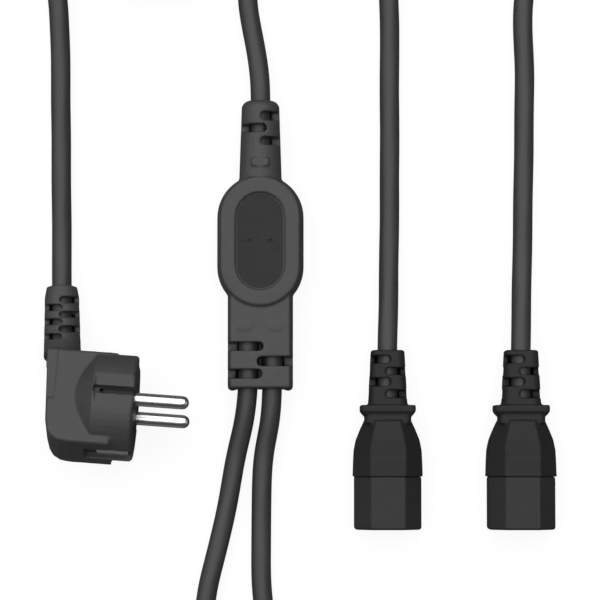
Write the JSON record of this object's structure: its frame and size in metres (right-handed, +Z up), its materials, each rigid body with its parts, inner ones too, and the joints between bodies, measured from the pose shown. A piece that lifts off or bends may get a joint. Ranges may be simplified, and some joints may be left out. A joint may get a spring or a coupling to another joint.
{
  "type": "y splitter mains lead",
  "caption": "Y-shaped mains lead: an angled earthed plug, a main cord, a moulded splitter and branch cords ending in C13 connectors",
  "frame": {"origin": "under the middle of the splitter, on the surface that the whole lead lies on", "axes": "+Y along the splitter towards the plug's cord, +X from the plug to the connectors, +Z up from the table"},
  "size_m": [0.2408, 0.3543, 0.0375],
  "materials": {
    "black_pvc": "fine-grained moulded black PVC",
    "hard_pvc": "hard black insert plastic, satin",
    "cord_pvc": "smooth extruded black PVC jacket with a soft sheen",
    "tie_pvc": "black plastic tie",
    "nickel": "bright nickel-plated brass, drawn lengthways",
    "brass_contact": "stamped brass, plain",
    "core_live": "brown core insulation",
    "core_neutral": "blue core insulation",
    "core_earth": "green and yellow core insulation"
  },
  "bodies": {
    "root": {"splitter_housing": "black_pvc", "splitter_tray": "hard_pvc", "splitter_crimp_live": "brass_contact", "splitter_main_core_live": "core_live", "splitter_branch_1_core_live": "core_live", "splitter_branch_2_core_live": "core_live", "splitter_crimp_neutral": "brass_contact", "splitter_main_core_neutral": "core_neutral", "splitter_branch_1_core_neutral": "core_neutral", "splitter_branch_2_core_neutral": "core_neutral", "splitter_crimp_earth": "brass_contact", "splitter_main_core_earth": "core_earth", "splitter_branch_1_core_earth": "core_earth", "splitter_branch_2_core_earth": "core_earth", "connector_1_housing": "black_pvc", "connector_1_insert": "hard_pvc", "connector_1_contact_live": "brass_contact", "connector_1_core_live": "core_live", "connector_1_contact_neutral": "brass_contact", "connector_1_core_neutral": "core_neutral", "connector_1_contact_earth": "brass_contact", "connector_1_core_earth": "core_earth", "connector_2_housing": "black_pvc", "connector_2_insert": "hard_pvc", "connector_2_contact_live": "brass_contact", "connector_2_core_live": "core_live", "connector_2_contact_neutral": "brass_contact", "connector_2_core_neutral": "core_neutral", "connector_2_contact_earth": "brass_contact", "connector_2_core_earth": "core_earth", "plug_housing": "black_pvc", "plug_pin_carrier": "hard_pvc", "plug_pin_live": "nickel", "plug_pin_neutral": "nickel", "plug_earth_strip": "nickel", "plug_earth_sleeve": "brass_contact", "plug_core_live": "core_live", "plug_core_neutral": "core_neutral", "plug_core_earth": "core_earth", "main_cord_plug_side": "cord_pvc", "main_cord_splitter_side": "cord_pvc", "branch_cord_1": "cord_pvc", "branch_cord_2": "cord_pvc", "main_cord_coil": "cord_pvc", "coil_tie_1": "tie_pvc", "coil_tie_2": "tie_pvc"}
  },
  "joints": []
}
